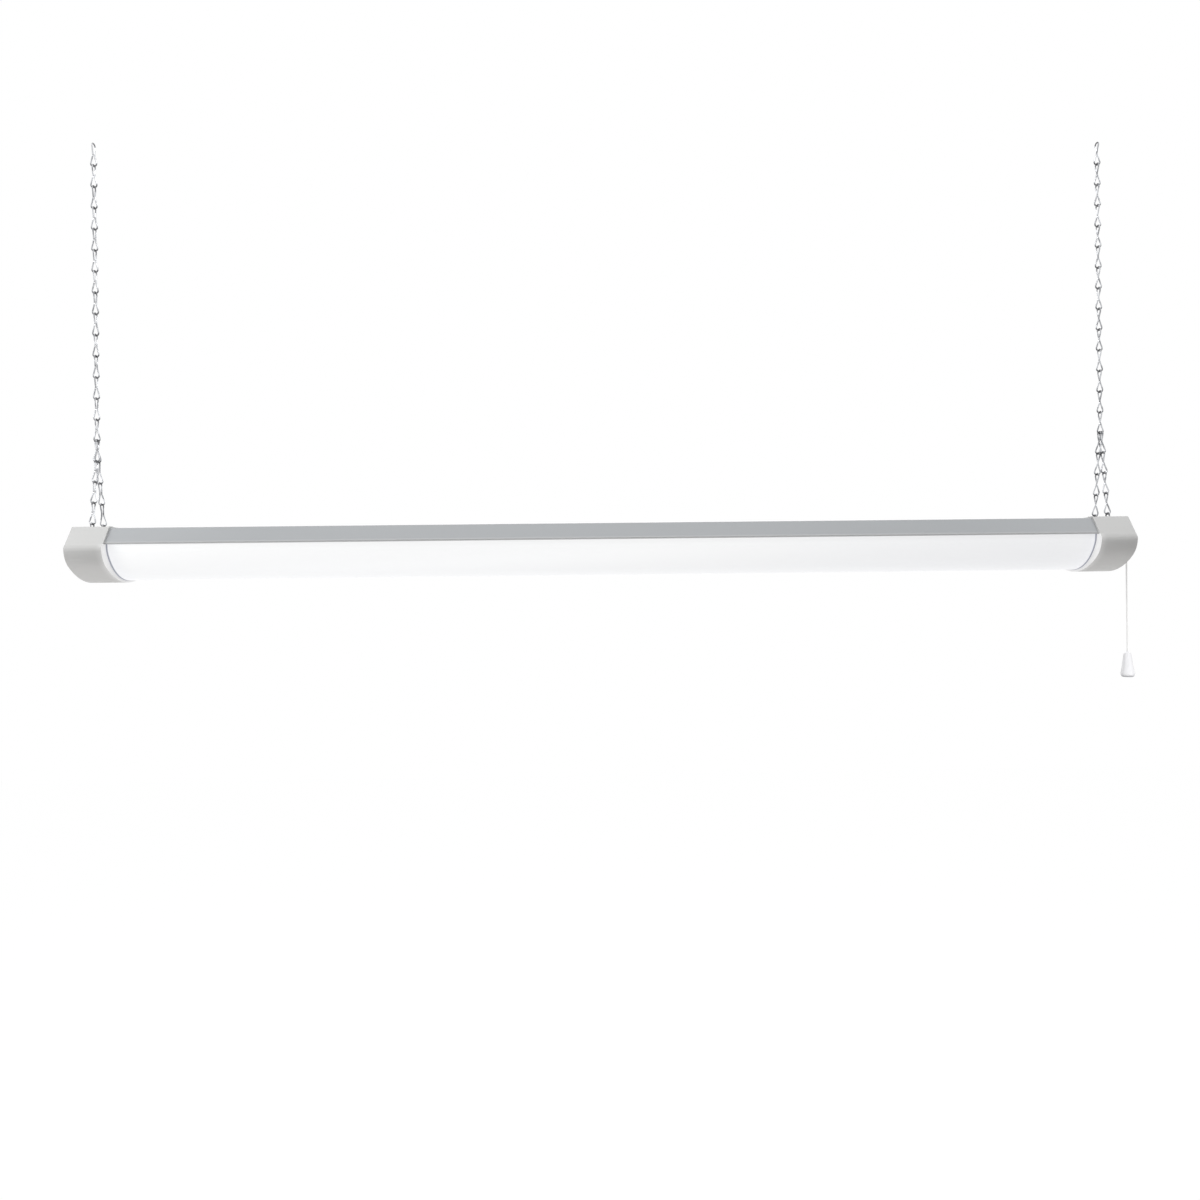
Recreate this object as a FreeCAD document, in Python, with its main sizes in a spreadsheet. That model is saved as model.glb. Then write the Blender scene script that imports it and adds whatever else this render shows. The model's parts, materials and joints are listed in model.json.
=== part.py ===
"""Hanging shop light: a linear light that hangs level from two figure-8 link chains.

Origin: midway between the hook points inside the two top links. +X along the light
towards the pull cord, +Y to the back, +Z up. Depths are measured down from the caps' top.
"""
import FreeCAD, Part
import math
import os
import re

import Sketcher
from FreeCAD import Placement, Rotation, Vector

os.makedirs("parts", exist_ok=True)
doc = FreeCAD.newDocument("ShopLight")
sheet = doc.addObject("Spreadsheet::Sheet", "dim")

SIZES = (
    # overall
    ("fixture_length", "1200"),
    ("fixture_width", "114"),
    ("fixture_height", "62"),
    # end caps
    ("cap_length", "42"),
    ("cap_top_width", "78.5"),
    ("crease_depth", "24.8"),
    ("cap_top_wall", "1.4"),
    ("cap_wall", "2.4"),
    ("cap_end_wall", "2.4"),
    ("mouth_flange", "2"),
    ("cap_side_radius", "27"),
    ("cap_end_chamfer", "0.9"),
    ("crease_round", "3"),
    # housing, tray and lens
    ("insert_length", "12"),
    ("fit_gap", "0.15"),
    ("top_gap", "0.1"),
    ("housing_sheet", "0.8"),
    ("housing_depth", "20.5"),
    ("flange_width", "10"),
    ("bend_round", "1.2"),
    ("tray_sheet", "0.8"),
    ("tray_gap", "0.6"),
    ("lens_width", "94"),
    ("lens_wall", "1.5"),
    ("lens_lip", "6"),
    ("lens_base_depth", "59.5"),
    ("lens_side_radius", "22"),
    ("lens_gap", "0.1"),
    # lit boards
    ("board_end_gap", "18"),
    ("board_width", "16"),
    ("board_thickness", "1"),
    ("board_offset", "20"),
    ("chip_count", "10"),
    ("chip_size", "3.5"),
    ("chip_height", "0.7"),
    # driver
    ("driver_length", "240"),
    ("driver_width", "44"),
    ("driver_height", "14"),
    ("driver_sheet", "0.8"),
    ("circuit_end_gap", "10"),
    ("circuit_width", "36"),
    ("circuit_thickness", "1.6"),
    ("standoff_height", "3"),
    ("standoff_size", "4"),
    ("driver_screw_inset", "8"),
    # screws
    ("screw_radius", "1.4"),
    ("screw_play", "0.1"),
    ("head_radius", "2.4"),
    ("head_height", "1.5"),
    ("tray_screw_inset", "3"),
    ("cap_screw_inset", "36"),
    ("cap_screw_y", "24"),
    ("cap_screw_length", "8"),
    # chains and bridles
    ("wire_radius", "0.8"),
    ("loop_radius", "3.4"),
    ("link_pitch", "24.65"),
    ("hook_gap", "0.25"),
    ("waist_offset", "0.85"),
    ("butt_gap", "0.4"),
    ("chain_links", "14"),
    ("bridle_links", "5"),
    ("bridle_spread", "15.5"),
    ("bridle_apart", "0.9"),
    ("apex_hang", "2.55"),
    # hanger pins and slots
    ("pin_radius", "1.5"),
    ("pin_depth", "17"),
    ("pin_play", "0.05"),
    ("hang_inset", "9"),
    ("rib_inner", "18.5"),
    ("rib_thickness", "3"),
    ("rib_margin", "3.5"),
    ("rib_back", "4.5"),
    ("slot_half_length", "5"),
    ("slot_half_width", "4.5"),
    # pull cord, guide and slider
    ("cord_radius", "0.75"),
    ("cord_outset", "5.4"),
    ("cord_offset", "25"),
    ("cord_top_depth", "41"),
    ("cord_free_length", "116"),
    ("cord_join_gap", "0.4"),
    ("bell_height", "29"),
    ("bell_radius", "8.9"),
    ("bell_neck_radius", "5"),
    ("guide_top_depth", "18"),
    ("guide_base_depth", "39"),
    ("guide_radius", "4.6"),
    ("guide_wall", "1.3"),
    ("guide_flange", "1.2"),
    ("guide_flange_half", "8"),
    ("guide_flange_reach", "3"),
    ("guide_mouth_radius", "1.1"),
    ("slider_radius", "3"),
    ("slider_depth", "20"),
    ("slider_height", "4"),
    ("tongue_width", "2"),
    ("tongue_height", "2.4"),
    ("tongue_play", "0.4"),
    ("pull_travel", "6"),
    ("spring_wire_radius", "0.35"),
    ("spring_radius", "2.3"),
    ("spring_turns", "5"),
    ("spring_seat_gap", "0.05"),
    # pull switch
    ("lever_arm", "12"),
    ("lever_tail", "6"),
    ("lever_half_height", "2.2"),
    ("lever_thickness", "1.5"),
    ("lever_hub_radius", "3"),
    ("lever_hub_width", "8"),
    ("fork_play", "0.25"),
    ("stud_radius", "1"),
    ("stud_length", "2.6"),
    ("stud_inset", "9"),
    ("lever_pin_radius", "1"),
    ("lever_pin_play", "0.05"),
    ("case_start_gap", "0.9"),
    ("case_length", "15.3"),
    ("case_wall", "1.2"),
    ("case_inner_y", "18"),
    ("case_width", "14.8"),
    ("case_depth", "34"),
    ("contact_width", "4"),
    ("contact_sheet", "0.6"),
    ("contact_depth", "13"),
    ("contact_reach", "1.6"),
    ("contact_play", "0.15"),
    ("joint_gap", "0.05"),
    # supply inlet, terminal block and wires
    ("inlet_offset", "25"),
    ("inlet_depth", "28"),
    ("inlet_bore_radius", "3.6"),
    ("inlet_body_radius", "5"),
    ("inlet_flange_radius", "7"),
    ("inlet_flange", "1.5"),
    ("inlet_play", "0.05"),
    ("block_length", "24"),
    ("block_width", "16"),
    ("block_height", "11"),
    ("block_inset", "92"),
    ("block_y", "14"),
    ("port_size", "3"),
    ("lead_radius", "0.8"),
    ("lead_rise", "5"),
    ("lead_hole_gap", "30"),
    ("lead_hole_radius", "3"),
)

# Sizes that follow from the ones above.
DERIVED = (
    ("half_length", "=fixture_length / 2"),
    ("half_width", "=fixture_width / 2"),
    ("half_top", "=cap_top_width / 2"),
    ("link_hang", "=2 * wire_radius + hook_gap"),
    ("link_height", "=link_pitch + link_hang"),
    ("chain_end", "=wire_radius - (chain_links - 1) * link_pitch - link_height"),
    ("bridle_top", "=chain_end + apex_hang"),
    ("pin_hang", "=wire_radius + pin_radius + hook_gap"),
    ("bridle_reach", "=(bridle_links - 1) * link_pitch + link_height - pin_hang"),
    ("bridle_drop", "=sqrt(bridle_reach ^ 2 - bridle_spread ^ 2 - bridle_apart ^ 2)"),
    ("pin_level", "=bridle_top - bridle_drop"),
    ("cap_top", "=pin_level + pin_depth"),
    ("hang_x", "=half_length - hang_inset"),
    ("slope_run", "=half_width - half_top"),
    ("slope_length", "=sqrt(slope_run ^ 2 + crease_depth ^ 2)"),
    ("cap_belly", "=fixture_height - crease_depth"),
    ("cap_side_y", "=half_width - cap_side_radius"),
    ("cap_base_radius", "=(cap_side_y ^ 2 + cap_belly ^ 2 - cap_side_radius ^ 2)"
     " / (2 * (cap_belly - cap_side_radius))"),
    ("cap_lean_y", "=cap_side_y / (cap_base_radius - cap_side_radius)"),
    ("cap_lean_z", "=(cap_base_radius - cap_belly) / (cap_base_radius - cap_side_radius)"),
    ("housing_top_depth", "=cap_top_wall + top_gap"),
    ("housing_inset", "=cap_wall + fit_gap"),
    ("housing_half", "=half_length - cap_length + insert_length"),
    ("flange_depth", "=housing_depth - housing_sheet"),
    ("tray_depth", "=flange_depth - tray_sheet"),
    ("lens_top_depth", "=housing_depth + lens_gap"),
    ("lens_crease_depth", "=lens_top_depth + lens_wall"),
    ("lens_half", "=lens_width / 2"),
    ("lens_belly", "=lens_base_depth - lens_crease_depth"),
    ("lens_side_y", "=lens_half - lens_side_radius"),
    ("lens_base_radius", "=(lens_side_y ^ 2 + lens_belly ^ 2 - lens_side_radius ^ 2)"
     " / (2 * (lens_belly - lens_side_radius))"),
    ("lens_lean_y", "=lens_side_y / (lens_base_radius - lens_side_radius)"),
    ("lens_lean_z", "=(lens_base_radius - lens_belly) / (lens_base_radius - lens_side_radius)"),
    ("board_length", "=2 * (housing_half - board_end_gap)"),
    ("circuit_length", "=driver_length - 2 * circuit_end_gap"),
    ("driver_screw_x", "=driver_length / 2 - driver_screw_inset"),
    ("tray_screw_x", "=fixture_length / 3"),
    ("lead_hole_x", "=driver_length / 2 + lead_hole_gap"),
    ("block_x", "=half_length - block_inset"),
    ("slot_offset", "=bridle_spread * (bridle_drop - pin_depth) / bridle_drop"),
    ("screw_hole_radius", "=screw_radius + screw_play"),
    ("cord_x", "=half_length + cord_outset"),
    ("stud_x", "=half_length - stud_inset"),
    ("lever_x", "=stud_x - lever_arm"),
    ("stud_depth", "=slider_depth + slider_height / 2"),
    ("lever_depth", "=stud_depth + pull_travel / 2"),
    ("case_x", "=housing_half + case_start_gap"),
    ("wall_inner_x", "=half_length - cap_end_wall"),
    ("lead_depth", "=tray_depth - lead_rise"),
)


SCREW_SIDES = 8
WIRE_SIDES = 5
BELL_SIDES = 20


def fill_sheet():
    """Writes each size beside its name; a derived size is a formula on the others."""
    for row, (name, text) in enumerate(SIZES + DERIVED, 1):
        sheet.set("A%d" % row, name)
        sheet.set("B%d" % row, text)
        sheet.setAlias("B%d" % row, name)
    doc.recompute()


def refer(text):
    """Turns the names in a formula into references to the sheet."""
    return re.sub(r"\b[a-z]+(?:_[a-z]+)+\b", lambda found: "dim." + found.group(0), str(text))


def value(text):
    return float(sheet.evalExpression(refer(text)))


def bind(item, field, text):
    item.setExpression(field, refer(text))


def new_body(label):
    body = doc.addObject("PartDesign::Body", label)
    body.Label = label
    return body


def new_sketch(body, role, offset="0"):
    """An empty sketch on an origin plane of its body, moved along the plane's normal."""
    sketch = body.newObject("Sketcher::SketchObject", "Sketch")
    plane = [item for item in body.Origin.OriginFeatures if item.Role == role][0]
    sketch.AttachmentSupport = [(plane, "")]
    sketch.MapMode = "FlatFace"
    bind(sketch, "AttachmentOffset.Base.z", offset)
    return sketch


def tie(sketch, constraint, text):
    index = sketch.addConstraint(constraint)
    bind(sketch, "Constraints[%d]" % index, text)


def place_point(sketch, item, end, across, up):
    """Fixes one point of a sketch by its two distances from the origin."""
    tie(sketch, Sketcher.Constraint("DistanceX", -1, 1, item, end, value(across)), across)
    tie(sketch, Sketcher.Constraint("DistanceY", -1, 1, item, end, value(up)), up)


def draw_outline(sketch, corners):
    """A closed outline. A corner is (across, up) or, where an arc leaves it,
    (across, up, radius, turn) with turn 1 to the left and -1 to the right."""
    spots = [Vector(value(corner[0]), value(corner[1]), 0) for corner in corners]
    ends = []
    for index, corner in enumerate(corners):
        start = spots[index]
        finish = spots[(index + 1) % len(spots)]
        if len(corner) == 2:
            item = sketch.addGeometry(Part.LineSegment(start, finish), False)
            ends.append((item, 1, 2))
            continue
        radius = value(corner[2])
        turn = corner[3]
        chord = finish - start
        rise = math.sqrt(max(radius ** 2 - chord.Length ** 2 / 4, 0))
        side = Vector(-chord.y, chord.x, 0).normalize()
        centre = (start + finish) / 2 + side * rise * turn
        circle = Part.Circle(centre, Vector(0, 0, 1), radius)
        first, last = (start, finish) if turn > 0 else (finish, start)
        low = math.atan2(first.y - centre.y, first.x - centre.x)
        high = math.atan2(last.y - centre.y, last.x - centre.x)
        item = sketch.addGeometry(Part.ArcOfCircle(circle, low, high), False)
        ends.append((item, 1, 2) if turn > 0 else (item, 2, 1))
    for index, (item, start, finish) in enumerate(ends):
        following = ends[(index + 1) % len(ends)]
        sketch.addConstraint(Sketcher.Constraint("Coincident", item, finish, following[0], following[1]))
        place_point(sketch, item, start, corners[index][0], corners[index][1])
        if len(corners[index]) < 3:
            continue
        radius = corners[index][2]
        if abs(spots[index].distanceToPoint(spots[(index + 1) % len(spots)]) - 2 * value(radius)) > 0.001:
            tie(sketch, Sketcher.Constraint("Radius", item, value(radius)), radius)
        else:
            middle = corners[index][0]
            tie(sketch, Sketcher.Constraint("DistanceX", -1, 1, item, 3, value(middle)), middle)


def draw_rectangle(sketch, left, right, low, high):
    draw_outline(sketch, [(left, low), (right, low), (right, high), (left, high)])


def draw_circle(sketch, across, up, radius):
    spot = Vector(value(across), value(up), 0)
    item = sketch.addGeometry(Part.Circle(spot, Vector(0, 0, 1), value(radius)), False)
    place_point(sketch, item, 3, across, up)
    tie(sketch, Sketcher.Constraint("Radius", item, value(radius)), radius)


def draw_regular(sketch, across, up, radius, sides):
    corners = []
    for index in range(sides):
        turn = 360 * (index + 0.5) / sides
        corners.append(("%s + (%s) * cos(%g)" % (across, radius, turn),
                        "%s + (%s) * sin(%g)" % (up, radius, turn)))
    draw_outline(sketch, corners)


def draw_screw_hole(sketch, across, up):
    """An eight-sided hole, the shape that all small fixings and their seats share."""
    draw_regular(sketch, across, up, "screw_hole_radius", SCREW_SIDES)


def add_pad(body, sketch, length, backwards=False):
    pad = body.newObject("PartDesign::Pad", "Pad")
    pad.Profile = sketch
    pad.Reversed = backwards
    bind(pad, "Length", length)
    sketch.Visibility = False
    return pad


def add_pocket(body, sketch, length, along_normal=False):
    pocket = body.newObject("PartDesign::Pocket", "Pocket")
    pocket.Profile = sketch
    pocket.Reversed = along_normal
    bind(pocket, "Length", length)
    return pocket


def dress_edges(body, kind, field, amount, wanted):
    """Rounds or bevels the edges of the body's last feature that the test picks."""
    doc.recompute()
    base = body.Tip
    names = []
    for index, edge in enumerate(base.Shape.Edges, 1):
        if wanted(edge):
            names.append("Edge%d" % index)
    dressed = body.newObject("PartDesign::" + kind, kind)
    dressed.Base = (base, names)
    bind(dressed, field, amount)
    return dressed


def add_rounds(body, radius, wanted):
    return dress_edges(body, "Fillet", "Radius", radius, wanted)


def add_chamfer(body, size, wanted):
    return dress_edges(body, "Chamfer", "Size", size, wanted)


def long_edge_at(across, up):
    """A test for the edge along X that passes the given Y and Z."""
    def matches(edge):
        middle = edge.CenterOfMass
        flat = abs(edge.BoundBox.YLength) + abs(edge.BoundBox.ZLength) < 0.01
        return flat and abs(abs(middle.y) - across) < 0.01 and abs(middle.z - up) < 0.01
    return matches


def new_box(label, corner, size):
    box = doc.addObject("Part::Box", label)
    box.Label = label
    for field, text in zip(("x", "y", "z"), corner):
        bind(box, "Placement.Base." + field, text)
    for field, text in zip(("Length", "Width", "Height"), size):
        bind(box, field, text)
    return box


def new_cylinder(label, base, radius, height, direction=Vector(0, 0, 1)):
    cylinder = doc.addObject("Part::Cylinder", label)
    cylinder.Label = label
    cylinder.Placement.Rotation = Rotation(Vector(0, 0, 1), direction)
    for field, text in zip(("x", "y", "z"), base):
        bind(cylinder, "Placement.Base." + field, text)
    bind(cylinder, "Radius", radius)
    bind(cylinder, "Height", height)
    return cylinder


def new_fuse(label, pieces):
    fuse = doc.addObject("Part::MultiFuse", label)
    fuse.Label = label
    fuse.Shapes = pieces
    fuse.Refine = True
    return fuse


def new_shape(label, shape):
    feature = doc.addObject("Part::Feature", label)
    feature.Label = label
    feature.Shape = shape
    return feature


def level(depth):
    """The height of a depth below the caps' top."""
    return "cap_top - (%s)" % depth


# ---------------------------------------------------------------- sections

def slope_at(depth, inset):
    """Half-width of the sloping side at a depth, set in square to the slope."""
    return ("half_top + (%s) * slope_run / crease_depth - (%s) * slope_length / crease_depth"
            % (depth, inset))


def belly_corners(half, crease, side_radius, base_radius, lean_y, lean_z, base_depth, inset):
    """The lower half of a section: side arc, broad base arc, side arc, left to right."""
    names = (base_radius, inset)
    joint_y = "(%s - %s) * " % names + lean_y
    joint_z = "cap_top - %s + %s - (%s - %s) * " % (base_depth, base_radius, base_radius, inset) + lean_z
    side = "%s - (%s)" % (side_radius, inset)
    base = "%s - (%s)" % (base_radius, inset)
    reach = "%s - (%s)" % (half, inset)
    return [
        ("-(%s)" % reach, level(crease), side, 1),
        ("-(%s)" % joint_y, joint_z, base, 1),
        (joint_y, joint_z, side, 1),
        (reach, level(crease)),
    ]


def cap_section(top_depth, inset):
    belly = belly_corners("half_width", "crease_depth", "cap_side_radius", "cap_base_radius",
                          "cap_lean_y", "cap_lean_z", "fixture_height", inset)
    top = slope_at(top_depth, inset)
    return [("-(%s)" % top, level(top_depth))] + belly + [(top, level(top_depth))]


def lens_belly_corners(inset):
    return belly_corners("lens_half", "lens_crease_depth", "lens_side_radius", "lens_base_radius",
                         "lens_lean_y", "lens_lean_z", "lens_base_depth", inset)


# ---------------------------------------------------------------- housing and lens

def make_housing():
    body = new_body("housing")
    sketch = new_sketch(body, "YZ_Plane", "-housing_half")
    inner = "housing_inset + housing_sheet"
    foot = slope_at("housing_depth", "housing_inset")
    shoulder = slope_at("housing_top_depth", "housing_inset")
    inner_foot = slope_at("flange_depth", inner)
    inner_shoulder = slope_at("housing_top_depth + housing_sheet", inner)
    tip = foot + " - flange_width"
    right = [
        (shoulder, level("housing_top_depth")),
        (foot, level("housing_depth")),
        (tip, level("housing_depth")),
        (tip, level("flange_depth")),
        (inner_foot, level("flange_depth")),
        (inner_shoulder, level("housing_top_depth + housing_sheet")),
    ]
    left = [("-(%s)" % across, up) for across, up in reversed(right)]
    draw_outline(sketch, right + left)
    add_pad(body, sketch, "2 * housing_half")
    folds = ((value(shoulder), value(level("housing_top_depth"))),
             (value(foot), value(level("housing_depth"))))
    tests = [long_edge_at(across, up) for across, up in folds]
    add_rounds(body, "bend_round", lambda edge: any(test(edge) for test in tests))
    holes = new_sketch(body, "XY_Plane", level("flange_depth - head_height"))
    for side in (-1, 1):
        for end in (-1, 1):
            draw_screw_hole(holes, "%d * tray_screw_x" % end, "%d * (%s)" % (side, tray_screw_y()))
    add_pocket(body, holes, "housing_sheet + head_height + tray_sheet")
    ports = new_sketch(body, "XY_Plane", "cap_top")
    for side in (-1, 1):
        for end in (-1, 1):
            draw_screw_hole(ports, "%d * (half_length - cap_screw_inset)" % end,
                            "%d * cap_screw_y" % side)
    add_pocket(body, ports, "housing_top_depth + 2 * housing_sheet")


def tray_screw_y():
    return "(%s - flange_width + tray_screw_inset)" % slope_at("housing_depth", "housing_inset")


def make_tray():
    body = new_body("led_tray")
    sketch = new_sketch(body, "XY_Plane", level("flange_depth"))
    half = slope_at("tray_depth", "housing_inset + housing_sheet + tray_gap")
    reach = "board_length / 2 + (housing_half - board_length / 2) / 2"
    draw_rectangle(sketch, "-(%s)" % reach, reach, "-(%s)" % half, half)
    for side in (-1, 1):
        for end in (-1, 1):
            draw_screw_hole(sketch, "%d * tray_screw_x" % end, "%d * (%s)" % (side, tray_screw_y()))
    for end in (-1, 1):
        draw_screw_hole(sketch, "%d * driver_screw_x" % end, "0")
    draw_regular(sketch, "-lead_hole_x", "0", "lead_hole_radius", SCREW_SIDES)
    add_pad(body, sketch, "tray_sheet")


def make_boards():
    for side, place in ((-1, "front"), (1, "rear")):
        low = "%d * board_offset - board_width / 2" % side
        new_box("led_board_" + place,
                ("-board_length / 2", low, level("flange_depth + board_thickness")),
                ("board_length", "board_width", "board_thickness"))
        chips = []
        count = int(value("chip_count"))
        pitch = value("board_length / chip_count")
        size = value("chip_size")
        height = value("chip_height")
        top = value(level("flange_depth + board_thickness"))
        for index in range(count):
            across = (index - (count - 1) / 2) * pitch
            corner = Vector(across - size / 2, side * value("board_offset") - size / 2, top - height)
            chips.append(Part.makeBox(size, size, height, corner))
        new_shape("led_chips_" + place, Part.makeCompound(chips))


def make_lens():
    body = new_body("lens")
    sketch = new_sketch(body, "YZ_Plane", "-housing_half")
    outer = lens_belly_corners("0")
    inner = lens_belly_corners("lens_wall")
    back = [inner[3] + ("lens_side_radius - lens_wall", -1),
            inner[2][:2] + ("lens_base_radius - lens_wall", -1),
            inner[1][:2] + ("lens_side_radius - lens_wall", -1),
            inner[0][:2]]
    top = level("lens_top_depth")
    under = level("lens_crease_depth")
    corners = [("-lens_half", top)] + outer + [
        ("lens_half", top),
        ("lens_half - lens_lip", top),
        ("lens_half - lens_lip", under),
    ] + back + [
        ("-(lens_half - lens_lip)", under),
        ("-(lens_half - lens_lip)", top),
    ]
    draw_outline(sketch, corners)
    add_pad(body, sketch, "2 * housing_half")


# ---------------------------------------------------------------- end caps

def make_cap(label, side):
    """One moulded cap: outer section, mouth round housing and lens, hollow, pin ribs,
    slots for the bridle's legs and clearance holes for its screws."""
    body = new_body(label)
    forward = side > 0
    mouth = "%d * (half_length - cap_length)" % side
    sketch = new_sketch(body, "YZ_Plane", mouth)
    draw_outline(sketch, cap_section("0", "0"))
    add_pad(body, sketch, "cap_length", not forward)
    tests = [long_edge_at(value("half_width"), value(level("crease_depth")))]
    add_rounds(body, "crease_round", tests[0])
    end_x = side * value("half_length")
    add_chamfer(body, "cap_end_chamfer",
                lambda edge: abs(edge.BoundBox.XMin - end_x) < 0.01 and abs(edge.BoundBox.XMax - end_x) < 0.01)

    opening = new_sketch(body, "YZ_Plane", mouth)
    edge_depth = "housing_depth + lens_gap"
    shoulder = slope_at("cap_top_wall", "cap_wall")
    foot = slope_at(edge_depth, "cap_wall")
    lens = lens_belly_corners("-fit_gap")
    corners = [("-(%s)" % shoulder, level("cap_top_wall")),
               ("-(%s)" % foot, level(edge_depth)),
               ("-(lens_half + fit_gap)", level(edge_depth))] + lens + [
               ("lens_half + fit_gap", level(edge_depth)),
               (foot, level(edge_depth)),
               (shoulder, level("cap_top_wall"))]
    draw_outline(opening, corners)
    add_pocket(body, opening, "cap_length - cap_end_wall", forward)

    hollow = new_sketch(body, "YZ_Plane", "%s + %d * mouth_flange" % (mouth, side))
    draw_outline(hollow, cap_section("cap_top_wall", "cap_wall"))
    add_pocket(body, hollow, "cap_length - cap_end_wall - mouth_flange", forward)

    ribs = new_sketch(body, "YZ_Plane", "%d * (half_length - cap_end_wall / 2)" % side)
    for hand in (-1, 1):
        near = "%d * rib_inner" % hand
        far = "%d * (rib_inner + rib_thickness)" % hand
        low = level("pin_depth + rib_margin")
        high = level("cap_top_wall / 2")
        if hand > 0:
            draw_rectangle(ribs, near, far, low, high)
        else:
            draw_rectangle(ribs, far, near, low, high)
    add_pad(body, ribs, "hang_inset + rib_back - cap_end_wall / 2", forward)

    bore = new_sketch(body, "XZ_Plane", "-(rib_inner + rib_thickness + pin_play)")
    draw_circle(bore, "%d * hang_x" % side, "pin_level", "pin_radius + pin_play")
    add_pocket(body, bore, "2 * (rib_inner + rib_thickness + pin_play)", True)

    slots = new_sketch(body, "XY_Plane", "cap_top")
    for hand in (-1, 1):
        middle_y = "%d * slot_offset" % hand
        draw_rectangle(slots, "%d * hang_x - slot_half_length" % side,
                       "%d * hang_x + slot_half_length" % side,
                       middle_y + " - slot_half_width", middle_y + " + slot_half_width")
    add_pocket(body, slots, "cap_top_wall + rib_margin / 2")

    holes = new_sketch(body, "XY_Plane", "cap_top")
    for hand in (-1, 1):
        draw_screw_hole(holes, "%d * (half_length - cap_screw_inset)" % side,
                        "%d * cap_screw_y" % hand)
    add_pocket(body, holes, "2 * cap_top_wall")
    return body


def finish_right_cap(body):
    """The right cap's own openings: the slider's slot and the supply inlet."""
    slot = new_sketch(body, "YZ_Plane", "half_length")
    half = "(tongue_width / 2 + tongue_play)"
    draw_rectangle(slot, "-cord_offset - %s" % half, "-cord_offset + %s" % half,
                   level("stud_depth + tongue_height / 2 + pull_travel + tongue_play"),
                   level("stud_depth - tongue_height / 2 - tongue_play"))
    add_pocket(body, slot, "cap_end_wall")
    inlet = new_sketch(body, "YZ_Plane", "half_length")
    draw_circle(inlet, "inlet_offset", level("inlet_depth"), "inlet_body_radius + inlet_play")
    add_pocket(body, inlet, "cap_end_wall")


def make_hanger_pins():
    for label, side in (("left_hanger_pin", -1), ("right_hanger_pin", 1)):
        new_cylinder(label, ("%d * hang_x" % side, "-(rib_inner + rib_thickness)", "pin_level"),
                     "pin_radius", "2 * (rib_inner + rib_thickness)", Vector(0, 1, 0))


# ---------------------------------------------------------------- screws

def level_ring(x, y, z, radius, sides):
    """The corners of a level regular outline about a vertical axis."""
    points = []
    for index in range(sides):
        turn = 2 * math.pi * (index + 0.5) / sides
        points.append(Vector(x + radius * math.cos(turn), y + radius * math.sin(turn), z))
    return points


def skin(rings):
    """A closed solid of flat faces through rings that have equally many corners."""
    faces = []
    for before, after in zip(rings[:-1], rings[1:]):
        for index in range(len(before)):
            beside = (index + 1) % len(before)
            loop = [before[index], before[beside], after[beside], after[index], before[index]]
            faces.append(Part.Face(Part.makePolygon(loop)))
    for ring in (rings[0], rings[-1]):
        faces.append(Part.Face(Part.makePolygon(ring + [ring[0]])))
    solid = Part.makeSolid(Part.makeShell(faces))
    if solid.Volume < 0:
        solid.reverse()
    return solid


def prism(x, y, z, radius, height, sides):
    """An upright prism with a regular outline; a negative height goes down."""
    return skin([level_ring(x, y, z, radius, sides), level_ring(x, y, z + height, radius, sides)])


def hex_screw(x, y, seat, grip):
    """A hexagon-headed sheet screw that goes down from its seat."""
    head = prism(x, y, seat, value("head_radius"), value("head_height"), 6)
    shank = prism(x, y, seat, value("screw_radius"), -grip, SCREW_SIDES)
    return head.fuse(shank).removeSplitter()


def make_screws():
    seat = value(level("tray_depth"))
    grip = value("tray_sheet + housing_sheet")
    places = [(end * value("tray_screw_x"), side * value(tray_screw_y()))
              for side in (-1, 1) for end in (-1, 1)]
    new_shape("tray_screws", Part.makeCompound([hex_screw(x, y, seat, grip) for x, y in places]))
    seat = value(level("tray_depth") + " + driver_sheet")
    grip = value("driver_sheet + tray_sheet")
    places = [(end * value("driver_screw_x"), 0) for end in (-1, 1)]
    new_shape("driver_screws", Part.makeCompound([hex_screw(x, y, seat, grip) for x, y in places]))
    for label, side in (("left_cap_screws", -1), ("right_cap_screws", 1)):
        x = side * value("half_length - cap_screw_inset")
        screws = [hex_screw(x, hand * value("cap_screw_y"), value("cap_top"), value("cap_screw_length"))
                  for hand in (-1, 1)]
        new_shape(label, Part.makeCompound(screws))


# ---------------------------------------------------------------- driver and wiring

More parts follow.
